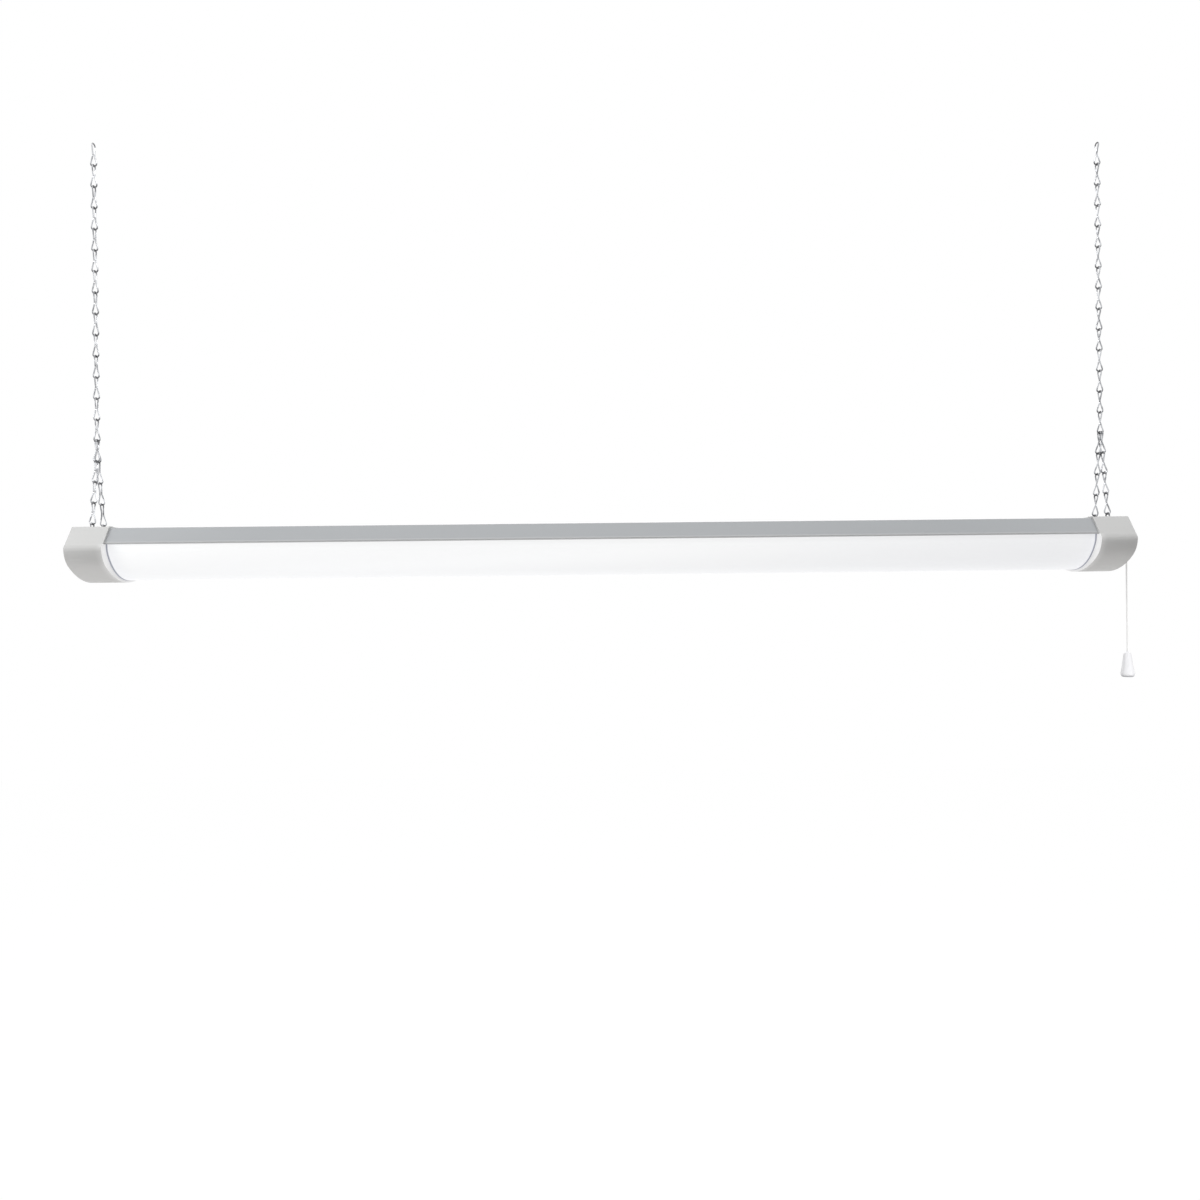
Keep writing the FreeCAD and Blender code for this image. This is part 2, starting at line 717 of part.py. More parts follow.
def make_driver():
    body = new_body("driver_case")
    outer = new_sketch(body, "XY_Plane", level("tray_depth"))
    draw_rectangle(outer, "-driver_length / 2", "driver_length / 2",
                   "-driver_width / 2", "driver_width / 2")
    add_pad(body, outer, "driver_height - driver_sheet")
    inner = new_sketch(body, "XY_Plane", level("tray_depth") + " + driver_height - driver_sheet")
    draw_rectangle(inner, "-driver_length / 2 + driver_sheet", "driver_length / 2 - driver_sheet",
                   "-driver_width / 2 + driver_sheet", "driver_width / 2 - driver_sheet")
    add_pocket(body, inner, "driver_height - 2 * driver_sheet")
    holes = new_sketch(body, "XY_Plane", level("tray_depth") + " + driver_sheet")
    for end in (-1, 1):
        draw_screw_hole(holes, "%d * driver_screw_x" % end, "0")
    add_pocket(body, holes, "driver_sheet")
    new_box("driver_lid",
            ("-driver_length / 2", "-driver_width / 2",
             level("tray_depth") + " + driver_height - driver_sheet"),
            ("driver_length", "driver_width", "driver_sheet"))
    floor = level("tray_depth") + " + driver_sheet"
    deck = floor + " + standoff_height"
    parts = [new_box("circuit_board", ("-circuit_length / 2 + 2 * head_radius", "-circuit_width / 2", deck),
                     ("circuit_length - 4 * head_radius", "circuit_width", "circuit_thickness"))]
    for side in (-1, 1):
        for end in (-1, 1):
            x = "%d * (circuit_length / 2 - 4 * standoff_size) - standoff_size / 2" % end
            y = "%d * (circuit_width / 2 - standoff_size) - standoff_size / 2" % side
            parts.append(new_box("standoff", (x, y, floor),
                                 ("standoff_size", "standoff_size", "standoff_height")))
    new_fuse("driver_board", parts)
    room = value("driver_height - 2 * driver_sheet - standoff_height - circuit_thickness - fit_gap")
    top = value(deck + " + circuit_thickness")
    width = value("circuit_width")
    shapes = [Part.makeBox(width * 0.8, width * 0.6, room * 0.95, Vector(-width * 0.4, -width * 0.3, top)),
              Part.makeBox(width * 0.5, width * 0.25, room * 0.8, Vector(width, -width * 0.3, top))]
    for index in range(2):
        shapes.append(prism(-width * (1.4 + 0.6 * index), 0, top, width * 0.22, room * 0.95, 12))
    new_shape("driver_components", Part.makeCompound(shapes))


def make_terminal_block():
    body = new_body("terminal_block")
    sketch = new_sketch(body, "XY_Plane", level("tray_depth"))
    draw_rectangle(sketch, "block_x", "block_x + block_length",
                   "block_y", "block_y + block_width")
    add_pad(body, sketch, "block_height")
    ports = new_sketch(body, "YZ_Plane", "block_x + block_length")
    for step in (1, 2, 3):
        middle = "block_y + %d * block_width / 4" % step
        draw_rectangle(ports, middle + " - port_size / 2", middle + " + port_size / 2",
                       level("lead_depth + port_size / 2"), level("lead_depth - port_size / 2"))
    add_pocket(body, ports, "port_size")


def wire_solid(points, radius, sides=WIRE_SIDES):
    """A wire of regular section along straight runs, mitred where two runs meet."""
    runs = [(points[i + 1] - points[i]).normalize() for i in range(len(points) - 1)]
    helper = Vector(0, 0, 1) if abs(runs[0].z) < 0.9 else Vector(1, 0, 0)
    across = runs[0].cross(helper).normalize()
    upward = runs[0].cross(across).normalize()
    ring = []
    for index in range(sides):
        turn = 2 * math.pi * index / sides
        ring.append(points[0] + (across * math.cos(turn) + upward * math.sin(turn)) * radius)
    rings = [ring]
    for index in range(1, len(points)):
        run = runs[index - 1]
        normal = run if index == len(points) - 1 else (run + runs[index]).normalize()
        moved = []
        for corner in rings[-1]:
            reach = (points[index] - corner).dot(normal) / run.dot(normal)
            moved.append(corner + run * reach)
        rings.append(moved)
    return skin(rings)


def make_wires():
    radius = value("lead_radius")
    z = value(level("lead_depth"))
    block_end = value("block_x + block_length")
    first_port = value("block_y + block_width / 4")
    second_port = value("block_y + block_width * 3 / 4")
    recess = block_end - value("port_size")
    tab = value("case_x - contact_reach - joint_gap")
    tab_z = value(level("contact_depth"))
    front_tab = -value("case_inner_y + case_width - contact_width")
    rear_tab = -value("case_inner_y + case_wall + contact_width")
    driver_end = value("driver_length / 2")
    lane = value("driver_width / 2 + 4 * lead_radius")
    bend = value("driver_width / 2")
    live = [Vector(recess, first_port, z), Vector(block_end + 6, first_port, z),
            Vector(tab - 14, rear_tab, tab_z), Vector(tab, rear_tab, tab_z)]
    new_shape("wire_live", wire_solid(live, radius))
    switched = [Vector(tab, front_tab, tab_z), Vector(tab - 14, front_tab, z),
                Vector(driver_end + 2 * bend, -lane, z), Vector(driver_end + bend / 2, -bend / 2, z),
                Vector(driver_end, -bend / 2, z)]
    new_shape("wire_switched", wire_solid(switched, radius))
    neutral = [Vector(recess, second_port, z), Vector(block_end + 6, second_port, z),
               Vector(block_end + 8, second_port + 8, z),
               Vector(block_end - 4, value("block_y + block_width") + 3 * radius, z),
               Vector(driver_end + 2 * bend, lane, z), Vector(driver_end + bend / 2, bend / 2, z),
               Vector(driver_end, bend / 2, z)]
    new_shape("wire_neutral", wire_solid(neutral, radius))
    hole = -value("lead_hole_x")
    under = value(level("flange_depth + board_thickness"))
    pad_y = value("board_offset - board_width / 4")
    leads = []
    for side in (-1, 1):
        x = hole + side * 1.5 * radius
        leads.append(wire_solid([
            Vector(-driver_end, side * 2 * radius, z), Vector(x + 3 * radius, side * 2 * radius, z),
            Vector(x, 0, z - 3 * radius), Vector(x, 0, under - 3 * radius),
            Vector(x, side * pad_y, under - 3 * radius), Vector(x, side * pad_y, under)], radius))
    new_shape("led_leads", Part.makeCompound(leads))


def make_inlet():
    """The supply cord's bushing: hexagon flange, round body, hexagon nut and bore."""
    body = new_body("cord_inlet_bushing")
    nut = new_sketch(body, "YZ_Plane", "-cap_end_wall - inlet_flange")
    draw_regular(nut, "0", "0", "inlet_flange_radius", 6)
    add_pad(body, nut, "inlet_flange")
    neck = new_sketch(body, "YZ_Plane", "-cap_end_wall")
    draw_circle(neck, "0", "0", "inlet_body_radius")
    add_pad(body, neck, "cap_end_wall")
    flange = new_sketch(body, "YZ_Plane")
    draw_regular(flange, "0", "0", "inlet_flange_radius", 6)
    add_pad(body, flange, "inlet_flange")
    bore = new_sketch(body, "YZ_Plane", "inlet_flange")
    draw_circle(bore, "0", "0", "inlet_bore_radius")
    add_pocket(body, bore, "cap_end_wall + 2 * inlet_flange")
    bind(body, "Placement.Base.x", "half_length")
    bind(body, "Placement.Base.y", "inlet_offset")
    bind(body, "Placement.Base.z", level("inlet_depth"))


# ---------------------------------------------------------------- pull switch

def make_guide():
    body = new_body("pull_guide")
    nose = new_sketch(body, "XY_Plane", level("guide_base_depth"))
    draw_outline(nose, [("half_length", "-cord_offset - guide_radius"),
                        ("cord_x", "-cord_offset - guide_radius", "guide_radius", 1),
                        ("cord_x", "-cord_offset + guide_radius"),
                        ("half_length", "-cord_offset + guide_radius")])
    add_pad(body, nose, "guide_base_depth - guide_top_depth")
    flange = new_sketch(body, "YZ_Plane", "half_length")
    draw_rectangle(flange, "-cord_offset - guide_flange_half", "-cord_offset + guide_flange_half",
                   level("guide_base_depth + guide_flange_reach"),
                   level("guide_top_depth - guide_flange_reach"))
    add_pad(body, flange, "guide_flange")
    inner = "guide_radius - guide_wall"
    hollow = new_sketch(body, "XY_Plane", level("guide_top_depth + guide_wall"))
    draw_outline(hollow, [("half_length", "-cord_offset - (%s)" % inner),
                          ("cord_x", "-cord_offset - (%s)" % inner, inner, 1),
                          ("cord_x", "-cord_offset + (%s)" % inner),
                          ("half_length", "-cord_offset + (%s)" % inner)])
    add_pocket(body, hollow, "guide_base_depth - guide_top_depth - 2 * guide_wall")
    mouth = new_sketch(body, "XY_Plane", level("guide_base_depth - guide_wall"))
    draw_circle(mouth, "cord_x", "-cord_offset", "guide_mouth_radius")
    add_pocket(body, mouth, "guide_wall")


def make_slider():
    stud_z = level("stud_depth")
    drum = new_cylinder("slider_drum", ("cord_x", "-cord_offset", level("slider_depth + slider_height")),
                        "slider_radius", "slider_height")
    tongue = new_box("slider_tongue",
                     ("stud_x - stud_radius", "-cord_offset - tongue_width / 2",
                      stud_z + " - tongue_height / 2"),
                     ("cord_x - stud_x + stud_radius", "tongue_width", "tongue_height"))
    stud = new_cylinder("slider_stud", ("stud_x", "-cord_offset", stud_z),
                        "stud_radius", "tongue_width / 2 + stud_length", Vector(0, -1, 0))
    new_fuse("pull_slider", [drum, tongue, stud])
    new_cylinder("pull_cord_stub", ("cord_x", "-cord_offset", level("cord_top_depth - cord_join_gap")),
                 "cord_radius", "cord_top_depth - cord_join_gap - slider_depth - slider_height")


def make_spring():
    low = value(level("guide_base_depth - guide_wall")) + value("spring_seat_gap + spring_wire_radius")
    high = value(level("slider_depth + slider_height")) - value("spring_seat_gap + spring_wire_radius")
    turns = int(value("spring_turns"))
    steps = 8 * turns
    points = []
    for index in range(steps + 1):
        turn = 2 * math.pi * turns * index / steps
        points.append(Vector(value("cord_x") + value("spring_radius") * math.cos(turn),
                             -value("cord_offset") + value("spring_radius") * math.sin(turn),
                             low + (high - low) * index / steps))
    new_shape("pull_spring", wire_solid(points, value("spring_wire_radius"), 4))


def make_pull():
    new_cylinder("pull_cord", ("cord_x", "-cord_offset", level("cord_top_depth + cord_free_length")),
                 "cord_radius", "cord_free_length")
    radius = value("bell_radius")
    neck = value("bell_neck_radius")
    height = value("bell_height")
    bottom = value(level("cord_top_depth + cord_free_length")) - height
    profile = ((0.55, 0), (0.82, 0.035), (0.97, 0.09), (1, 0.14), (0.94, 0.22), (0.775, 0.54), (0.62, 0.86))
    sections = [(radius * wide, height * high) for wide, high in profile]
    sections += [(neck, height * 0.94), (neck / 2, height)]
    rings = [level_ring(value("cord_x"), -value("cord_offset"), bottom + high, wide, BELL_SIDES)
             for wide, high in sections]
    new_shape("pull_bell", skin(rings))


def make_switch():
    body = new_body("switch_case")
    outer = new_sketch(body, "XZ_Plane", "case_inner_y")
    draw_rectangle(outer, "case_x", "case_x + case_length", level("case_depth"), level("cap_top_wall"))
    add_pad(body, outer, "case_width")
    inner = new_sketch(body, "XZ_Plane", "case_inner_y + case_width")
    draw_rectangle(inner, "case_x + case_wall", "case_x + case_length - case_wall",
                   level("case_depth - case_wall"), level("cap_top_wall + case_wall"))
    add_pocket(body, inner, "case_width - case_wall")
    half = "lever_thickness / 2 + tongue_play"
    slot = new_sketch(body, "YZ_Plane", "case_x + case_length")
    draw_rectangle(slot, "-(%s) - (%s)" % (plate_y(), half), "-(%s) + %s" % (plate_y(), half),
                   level("lever_depth + pull_travel"), level("lever_depth - pull_travel"))
    add_pocket(body, slot, "case_wall")
    tabs = new_sketch(body, "YZ_Plane", "case_x")
    for middle in tab_middles():
        draw_rectangle(tabs, "%s - contact_width / 2 - contact_play" % middle,
                       "%s + contact_width / 2 + contact_play" % middle,
                       level("contact_depth + contact_sheet / 2 + contact_play"),
                       level("contact_depth - contact_sheet / 2 - contact_play"))
    add_pocket(body, tabs, "case_wall", True)
    hole = new_sketch(body, "XZ_Plane", "case_inner_y")
    draw_circle(hole, "lever_x", level("lever_depth"), "lever_pin_radius + lever_pin_play")
    add_pocket(body, hole, "case_wall", True)

    cover = new_body("switch_cover")
    plate = new_sketch(cover, "XZ_Plane", "case_inner_y + case_width")
    draw_rectangle(plate, "case_x", "case_x + case_length", level("case_depth"), level("cap_top_wall"))
    draw_circle(plate, "lever_x", level("lever_depth"), "lever_pin_radius + lever_pin_play")
    add_pad(cover, plate, "case_wall")

    leaves = []
    for index, middle in enumerate(tab_middles()):
        leaves.append(new_box("leaf_%d" % index,
                              ("case_x - contact_reach", "%s - contact_width / 2" % middle,
                               level("contact_depth + contact_sheet / 2")),
                              ("contact_reach + case_length / 2", "contact_width", "contact_sheet")))
        leaves.append(new_box("contact_%d" % index,
                              ("case_x + case_length / 2 - 2 * contact_sheet - contact_reach",
                               "%s - contact_width / 2" % middle,
                               level("contact_depth + contact_width")),
                              ("contact_sheet", "contact_width", "contact_width")))
    new_fuse("switch_contacts", leaves)
    new_cylinder("lever_pin", ("lever_x", "-case_inner_y", level("lever_depth")),
                 "lever_pin_radius", "case_width + case_wall", Vector(0, -1, 0))


def plate_y():
    """Distance of the lever's plate in front of the middle plane."""
    return "cord_offset + tongue_width / 2 + stud_length / 2"


def tab_middles():
    return ["(-(case_inner_y + case_width - contact_width))",
            "(-(case_inner_y + case_wall + contact_width))"]


def make_lever():
    """The forked rocker, drawn level about its pin and set at its resting tilt."""
    body = new_body("switch_lever")
    plate = new_sketch(body, "XZ_Plane", "%s - lever_thickness / 2" % plate_y())
    tip = "lever_arm + 2 * stud_radius"
    throat = "lever_arm - 2 * stud_radius"
    gap = "stud_radius + fork_play"
    half = "lever_half_height"
    draw_outline(plate, [
        ("-lever_tail", "-%s / 2" % half), ("0", "-%s" % half), (tip, "-%s" % half),
        (tip, "-(%s)" % gap), (throat, "-(%s)" % gap), (throat, gap), (tip, gap),
        (tip, half), ("0", half), ("-lever_tail", "%s / 2" % half)])
    add_pad(body, plate, "lever_thickness")
    hub = new_sketch(body, "XZ_Plane", "%s - lever_hub_width / 2" % plate_y())
    draw_regular(hub, "0", "0", "lever_hub_radius", SCREW_SIDES)
    add_pad(body, hub, "lever_hub_width")
    bore = new_sketch(body, "XZ_Plane", "%s - lever_hub_width / 2" % plate_y())
    draw_circle(bore, "0", "0", "lever_pin_radius + lever_pin_play")
    add_pocket(body, bore, "lever_hub_width", True)
    tilt = math.degrees(value("pull_travel / 2 / lever_arm"))
    body.Placement = Placement(Vector(0, 0, 0), Rotation(Vector(0, 1, 0), -tilt))
    bind(body, "Placement.Base.x", "lever_x")
    bind(body, "Placement.Base.z", level("lever_depth"))


# ---------------------------------------------------------------- chains

def link_points():
    """Centre line of one link about its waist: the end of the upper loop, once round in
    the YZ plane, through the waist, once round in the XZ plane, to the lower loop's end."""
    radius = value("loop_radius")
    steps = 5
    sweep = 240
    half_step = math.radians(sweep / steps / 2)
    centre = value("link_height") / 2 - radius * math.cos(half_step)
    offset = value("waist_offset") * math.sqrt(0.5)
    gap = value("butt_gap") / 2
    upper = []
    for index in range(steps + 1):
        turn = math.radians(90 + sweep / 2 - sweep * index / steps)
        upper.append(Vector(0, radius * math.cos(turn), centre + radius * math.sin(turn)))
    lower = [Vector(point.y, 0, -point.z) for point in reversed(upper)]
    first = [Vector(-offset, -offset, gap)]
    middle = [Vector(offset, offset, 0)]
    last = [Vector(-offset, -offset, -gap)]
    return first + upper + middle + lower + last


def chain_run(link, top, count, direction):
    """A number of equal links, each hung in the one before, along a direction."""
    tilt = Rotation(Vector(0, 0, -1), direction)
    placed = []
    for index in range(count):
        reach = value("link_pitch") * index + value("link_height") / 2
        piece = link.copy()
        piece.Placement = Placement(top + direction * reach, tilt)
        placed.append(piece)
    return placed


def make_chains():
    link = wire_solid(link_points(), value("wire_radius"))
    down = Vector(0, 0, -1)
    pitch = value("link_pitch")
    for name, side in (("left", -1), ("right", 1)):
        x = side * value("hang_x")
        top = Vector(x, 0, value("wire_radius"))
        new_shape(name + "_top_link", chain_run(link, top, 1, down)[0])
        new_shape(name + "_second_link", chain_run(link, top + down * pitch, 1, down)[0])
        rest = chain_run(link, top + down * (2 * pitch), int(value("chain_links")) - 2, down)
        new_shape(name + "_chain_links", Part.makeCompound(rest))
        for place, hand in (("front", -1), ("rear", 1)):
            spot = Vector(x - hand * value("bridle_apart"), 0, value("bridle_top"))
            leg = Vector(hand * value("bridle_apart"), hand * value("bridle_spread"),
                         -value("bridle_drop")).normalize()
            turned = link.copy()
            if hand > 0:
                turned.rotate(Vector(0, 0, 0), Vector(0, 0, 1), 180)
                turned = turned.transformGeometry(FreeCAD.Matrix())
            placed = chain_run(turned, spot, int(value("bridle_links")), leg)
            new_shape("%s_bridle_%s_leg" % (name, place), Part.makeCompound(placed))


# ---------------------------------------------------------------- assembly

def sub_parts():
    """The objects that stand for one piece each: nothing else uses them."""
    inner = set()
    for item in doc.Objects:
        if item.TypeId == "Part::MultiFuse":
            inner.update(used.Name for used in item.Shapes)
    kinds = ("PartDesign::Body", "Part::MultiFuse", "Part::Box", "Part::Cylinder", "Part::Feature")
    return [item for item in doc.Objects if item.TypeId in kinds and item.Name not in inner]


def check_document():
    for item in doc.Objects:
        if "Invalid" in item.State or "Error" in item.State:
            raise RuntimeError("failed: " + item.Label + " in " + str([p.Label for p in item.InList]))
        if item.TypeId in ("PartDesign::Pocket", "PartDesign::Groove"):
            if item.Shape.Volume > item.BaseFeature.Shape.Volume - 0.001:
                raise RuntimeError("cuts nothing: " + item.Label + " in " + item.InList[0].Label)
    for item in sub_parts():
        if item.Shape.isNull() or not item.Shape.isValid():
            raise RuntimeError("bad shape: " + item.Label)


def export_parts():
    for item in sub_parts():
        item.Shape.exportStep(os.path.join("parts", item.Label + ".step"))


fill_sheet()
make_housing()
make_tray()
make_boards()
make_lens()
make_cap("left_end_cap", -1)
finish_right_cap(make_cap("right_end_cap", 1))
make_hanger_pins()
make_screws()
make_driver()
make_terminal_block()
make_wires()
make_inlet()
make_guide()
make_slider()
make_spring()
make_pull()
make_switch()
make_lever()
make_chains()
doc.recompute()
check_document()
export_parts()
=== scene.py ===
"""Looks of the hanging shop light: its finishes, round chain wire, pull cord, bell and
return spring, and the plain studio round them. Metres, in the part's own frame: X along
the light, Y across it and Z up."""

import json
import math

import bpy
from mathutils import Matrix, Vector


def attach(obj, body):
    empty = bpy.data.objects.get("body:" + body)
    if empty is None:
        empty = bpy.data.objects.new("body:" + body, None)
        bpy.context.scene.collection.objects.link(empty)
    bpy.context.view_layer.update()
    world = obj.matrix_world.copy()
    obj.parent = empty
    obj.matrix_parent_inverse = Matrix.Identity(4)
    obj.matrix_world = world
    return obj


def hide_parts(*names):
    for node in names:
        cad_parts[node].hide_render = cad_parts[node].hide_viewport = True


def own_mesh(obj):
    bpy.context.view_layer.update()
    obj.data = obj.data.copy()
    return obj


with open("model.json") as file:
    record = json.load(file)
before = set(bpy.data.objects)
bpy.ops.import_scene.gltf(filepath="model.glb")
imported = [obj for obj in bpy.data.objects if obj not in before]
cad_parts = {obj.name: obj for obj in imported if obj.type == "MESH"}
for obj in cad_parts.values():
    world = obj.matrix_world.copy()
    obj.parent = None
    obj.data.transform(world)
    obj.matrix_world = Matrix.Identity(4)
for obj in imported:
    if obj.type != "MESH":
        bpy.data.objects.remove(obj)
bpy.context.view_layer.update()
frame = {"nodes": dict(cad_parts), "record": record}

MM = 0.001

# The CAD model's heights and places
CAP_TOP = -448.1625 * MM
CAP_FOOT = CAP_TOP - 62 * MM
CAP_MOUTH_X = 558 * MM
CREASE_Z = CAP_TOP - 24.8 * MM
HOUSING_FOOT = CAP_TOP - 20.5 * MM
HANG_X = 591 * MM

# The pull cord and its bell
CORD_X = 605.4 * MM
CORD_Y = -25 * MM
CORD_EXIT_DEPTH = 41 * MM
CORD_LENGTH = 116 * MM
CORD_RADIUS = 0.75 * MM
BELL_RADIUS = 7.6 * MM
BELL_HEIGHT = 29 * MM
BELL_FOOT = CAP_TOP - CORD_EXIT_DEPTH - CORD_LENGTH - BELL_HEIGHT

# The chain and its bridles
LINK_PITCH = 24.65 * MM
LINK_HEIGHT = 26.5 * MM
WIRE_RADIUS = 0.8 * MM
LOOP_RADIUS = 3.4 * MM
WAIST_OFFSET = 0.85 * MM
BUTT_GAP = 0.4 * MM
CHAIN_LINKS = 12
LEG_LINKS = 5
BRIDLE_TOP = -343.6 * MM
BRIDLE_APART = 0.9 * MM
BRIDLE_SPREAD = 15.5 * MM
BRIDLE_DROP = 121.5625 * MM


# ---------------------------------------------------------------- shader maths

class Signal:
    """A value, colour or direction on its way through the nodes of one tree."""

    def __init__(self, nodes, socket):
        self.nodes = nodes
        self.socket = socket

    def output(self, key):
        """Another output of the same node, by name or place."""
        return Signal(self.nodes, self.socket.node.outputs[key])

    def math(self, operation, *others):
        links = {0: self}
        links.update(enumerate(others, 1))
        return self.nodes.node("Math", {"operation": operation}, links)

    def __add__(self, other):
        return self.math("ADD", other)

    def __radd__(self, other):
        return self + other

    def __sub__(self, other):
        return self.math("SUBTRACT", other)

    def __rsub__(self, other):
        return self.nodes.node("Math", {"operation": "SUBTRACT"}, {0: other, 1: self})

    def __mul__(self, other):
        return self.math("MULTIPLY", other)

    def __rmul__(self, other):
        return self * other

    def __abs__(self):
        return self.math("ABSOLUTE")

    def rise(self, low, high):
        """0 below low, 1 above high and smooth between."""
        return self.nodes.node("MapRange", {"interpolation_type": "SMOOTHSTEP"},
                               {"Value": self, "From Min": low, "From Max": high})


class Nodes:
    """A tree of shader nodes, and the one way in which they are added."""

    def __init__(self, tree, output):
        self.tree = tree
        self.tree.nodes.clear()
        self.end = self.tree.nodes.new("ShaderNodeOutput" + output)

    def node(self, kind, settings, links):
        """Adds a node: its settings first, then the values or links of its sockets."""
        made = self.tree.nodes.new("ShaderNode" + kind)
        for key, setting in settings.items():
            setattr(made, key, setting)
        for key, fed in links.items():
            if isinstance(fed, Signal):
                self.tree.links.new(fed.socket, made.inputs[key])
            else:
                made.inputs[key].default_value = fed
        return Signal(self, made.outputs[0])

    def seen(self):
        """1 for what the camera, metal and clear pieces look at, and 0 for light that
        falls on the object."""
        rays = self.node("LightPath", {}, {})
        mirrored = rays.output("Is Glossy Ray").math("MAXIMUM",
                                                     rays.output("Is Transmission Ray"))
        return rays.math("MAXIMUM", mirrored)

    def end_in(self, shader):
        self.tree.links.new(shader.socket, self.end.inputs["Surface"])


class Finish(Nodes):
    """One material of the light, drawn with nodes on the part's own coordinates."""

    def __init__(self, name):
        self.material = bpy.data.materials.new(name)
        self.material.use_nodes = True
        super().__init__(self.material.node_tree, "Material")
        self.place = self.node("TexCoord", {}, {}).output("Object")

    def axes(self):
        """The places along the light, across it and up."""
        split = self.node("SeparateXYZ", {}, {0: self.place})
        return split, split.output("Y"), split.output("Z")

    def stretched(self, x, y, z):
        """The part's coordinates, each multiplied by its factor."""
        return self.node("VectorMath", {"operation": "MULTIPLY"}, {0: self.place, 1: (x, y, z)})

    def grain(self, scale, detail=2.0, roughness=0.5, place=None):
        return self.node("TexNoise", {}, {"Vector": place or self.place, "Scale": scale,
                                          "Detail": detail, "Roughness": roughness})

    def specks(self, scale):
        return self.node("TexVoronoi", {}, {"Vector": self.place, "Scale": scale})

    def blend(self, amount, low, high):
        """A colour between two, each of them fixed or a signal."""
        low, high = (tone if isinstance(tone, Signal) else tone + (1,) for tone in (low, high))
        return self.node("Mix", {"data_type": "RGBA"}, {0: amount, 6: low, 7: high}).output(2)

    def bump(self, height, distance, strength=1.0, under=None):
        links = {"Height": height, "Distance": distance, "Strength": strength}
        if under:
            links["Normal"] = under
        return self.node("Bump", {}, links)

    def surface(self, **sockets):
        """Ends the finish in one principled shader and returns the material."""
        links = {key.replace("_", " "): fed for key, fed in sockets.items()}
        self.end_in(self.node("BsdfPrincipled", {}, links))
        return self.material


def grey(level, warm=0.0):
    """A near-neutral colour; warm adds red and takes blue."""
    return (level * (1 + warm), level, level * (1 - warm))


# ---------------------------------------------------------------- finishes

def painted_housing():
    """Satin grey powder coat on folded sheet, with painted light towards the two ends
    and a painted highlight along its lower edge above the lens."""
    finish = Finish("housing_paint")
    along, _, up = finish.axes()
    cloud = finish.grain(9, 4)
    peel = finish.grain(900, 2, 0.55)
    fleck = finish.grain(3800, 1)
    # Painted light: the coat is made paler towards both ends, where more light falls.
    ends = abs(along).rise(0.38, 0.57)
    # Painted highlight along the housing's lower edge, where it catches the lens's light.
    painted_fold_highlight = 1 - (up - HOUSING_FOOT).rise(0.8 * MM, 3.6 * MM)
    tone = finish.blend(cloud, (0.338, 0.352, 0.366), (0.366, 0.381, 0.395))
    tone = finish.blend(ends * 0.45, tone, (0.46, 0.475, 0.49))
    tone = finish.blend(painted_fold_highlight * 0.75, tone, (0.58, 0.58, 0.58))
    tone = finish.blend(fleck.rise(0.62, 0.75) * 0.12, tone, (0.62, 0.63, 0.64))
    return finish.surface(Base_Color=tone, Roughness=0.4 + cloud * 0.1,
                          Normal=finish.bump(peel + fleck * 0.25, 0.05 * MM, 0.5))


def white_enamel():
    """Glossy white reflector enamel of the tray."""
    finish = Finish("tray_white")
    cloud = finish.grain(12, 3)
    peel = finish.grain(600, 2)
    tone = finish.blend(cloud, (0.8, 0.8, 0.79), (0.86, 0.86, 0.85))
    return finish.surface(Base_Color=tone, Roughness=0.2 + cloud * 0.12,
                          Normal=finish.bump(peel, 0.04 * MM, 0.5))


def board_mask():
    """White solder mask with the weave of the board showing faintly."""
    finish = Finish("board_white")
    weave = finish.node("TexWave", {"wave_type": "BANDS", "bands_direction": "X"},
                        {"Vector": finish.place, "Scale": 900, "Distortion": 1.5})
    cloud = finish.grain(60, 3)
    tone = finish.blend(cloud, (0.78, 0.8, 0.77), (0.86, 0.87, 0.85))
    return finish.surface(Base_Color=tone, Roughness=0.38 + weave * 0.08,
                          Normal=finish.bump(weave, 0.01 * MM, 0.4))


def chip_phosphor():
    """Yellow phosphor gel over each chip, in slightly uneven grains."""
    finish = Finish("chip_yellow")
    cell = finish.grain(1400, 2)
    tone = finish.blend(cell, (0.78, 0.62, 0.14), (0.9, 0.76, 0.28))
    return finish.surface(Base_Color=tone, Roughness=0.25 + cell * 0.1,
                          Normal=finish.bump(cell, 0.03 * MM, 0.5))


def frosted_lens():
    """Opal plastic lit from inside: brightest along the top under the boards, softer and
    cooler towards the right end, and dim at the edge that the caps take up."""
    finish = Finish("lens_frost")
    along, _, up = finish.axes()
    frost = finish.grain(2400, 2, 0.6)
    wash = finish.grain(6, 2, 0.4, finish.stretched(0.35, 1, 1))
    top = (up - CAP_FOOT).rise(0, 40 * MM)
    right = along.rise(0.0, 0.6)
    ends = abs(along).rise(CAP_MOUTH_X - 23 * MM, CAP_MOUTH_X - 2 * MM)
    # Painted shade line where the lens meets the cap's lip.
    edge = abs(along).rise(CAP_MOUTH_X - 2.2 * MM, CAP_MOUTH_X - 1 * MM)
    glow = finish.blend(top, (0.75, 0.75, 0.755), (1.0, 1.0, 1.0))
    glow = finish.blend(right * 0.4, glow, (0.7, 0.705, 0.74))
    glow = finish.blend(wash * 0.08, glow, (0.84, 0.845, 0.87))
    glow = finish.blend(ends * 0.5, glow, (0.76, 0.765, 0.8))
    glow = finish.blend(edge, glow, (0.2, 0.21, 0.26))
    body = finish.blend(frost, (0.42, 0.425, 0.43), (0.46, 0.465, 0.47))
    # The same painted shade line, in the base colour.
    body = finish.blend(edge, body, (0.24, 0.25, 0.28))
    return finish.surface(Base_Color=body, Roughness=0.42 + frost * 0.14,
                          Emission_Color=glow, Emission_Strength=0.66,
                          Normal=finish.bump(frost, 0.02 * MM, 0.35))


